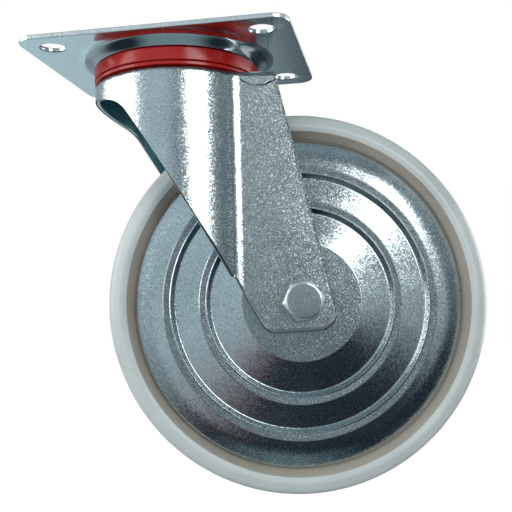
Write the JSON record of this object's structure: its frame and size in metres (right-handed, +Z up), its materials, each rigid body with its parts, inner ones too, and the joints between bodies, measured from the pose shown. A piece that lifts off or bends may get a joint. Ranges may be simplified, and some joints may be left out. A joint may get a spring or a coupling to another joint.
{
  "type": "swivel plate castor",
  "caption": "Heavy-duty swivel castor with a rectangular top plate, ball-race head, pressed steel fork and a polyamide wheel with pressed steel side discs",
  "frame": {"origin": "middle of the top plate's upper face and of its four-hole pattern, on the swivel axis", "axes": "+Z is up, out of the plate's top face and along the swivel axis; +X runs along the plate's long side and roughly the way the wheel trails at rest; +Y runs along the plate's short side"},
  "size_m": [0.2326, 0.119, 0.237],
  "materials": {
    "zinc_sheet": "bright zinc-plated pressed sheet with a cool blue-grey tint and fine sparkle",
    "zinc_fastener": "bright zinc-plated turned and cold-formed steel",
    "bearing_steel": "polished bearing steel",
    "cage_steel": "plain pressed cage steel",
    "white_polyamide": "cast polyamide, milky natural white, softly glossy",
    "red_plastic": "glossy red plastic ring",
    "blue_nylon": "blue nylon locking insert",
    "black_rubber": "black moulded rubber seal"
  },
  "bodies": {
    "root": {"top_plate": "zinc_sheet", "kingpin": "zinc_fastener", "race_spacer": "zinc_fastener", "lower_race_cup": "zinc_sheet", "kingpin_washer": "zinc_fastener", "kingpin_nut": "zinc_fastener"},
    "swivel": {"fork": "zinc_sheet", "seal_ring": "red_plastic", "axle_bolt": "zinc_fastener", "axle_washer": "zinc_fastener", "axle_nut": "zinc_fastener", "nut_insert": "blue_nylon", "axle_tube": "zinc_fastener", "spacer_bush_near": "zinc_fastener", "spacer_bush_far": "zinc_fastener", "bearing_inner_near": "bearing_steel", "bearing_inner_far": "bearing_steel"},
    "swivel_balls": {"upper_balls": "bearing_steel", "lower_balls": "bearing_steel"},
    "wheel": {"wheel_body": "white_polyamide", "side_disc_near": "zinc_sheet", "side_disc_far": "zinc_sheet", "bearing_outer_near": "bearing_steel", "bearing_outer_far": "bearing_steel", "bearing_seal_near": "black_rubber", "bearing_seal_far": "black_rubber"},
    "wheel_balls": {"bearing_balls_near": "bearing_steel", "bearing_balls_far": "bearing_steel", "bearing_cage_near": "cage_steel", "bearing_cage_far": "cage_steel"}
  },
  "joints": [
    {"name": "swivel", "type": "hinge", "parent": "root", "child": "swivel", "pos_m": [0, 0, 0], "axis": [0, 0, 1], "continuous": true},
    {"name": "race_ball_orbit", "type": "hinge", "parent": "root", "child": "swivel_balls", "pos_m": [0, 0, 0], "axis": [0, 0, 1], "continuous": true},
    {"name": "wheel_spin", "type": "hinge", "parent": "swivel", "child": "wheel", "pos_m": [0.06139, 0.01417, -0.137], "axis": [-0.225, 0.9744, 0], "continuous": true},
    {"name": "bearing_ball_orbit", "type": "hinge", "parent": "swivel", "child": "wheel_balls", "pos_m": [0.06139, 0.01417, -0.137], "axis": [-0.225, 0.9744, 0], "continuous": true}
  ],
  "couplings": [
    {"joint": "race_ball_orbit", "follows": "swivel", "ratio": 0.5},
    {"joint": "bearing_ball_orbit", "follows": "wheel_spin", "ratio": 0.6}
  ]
}
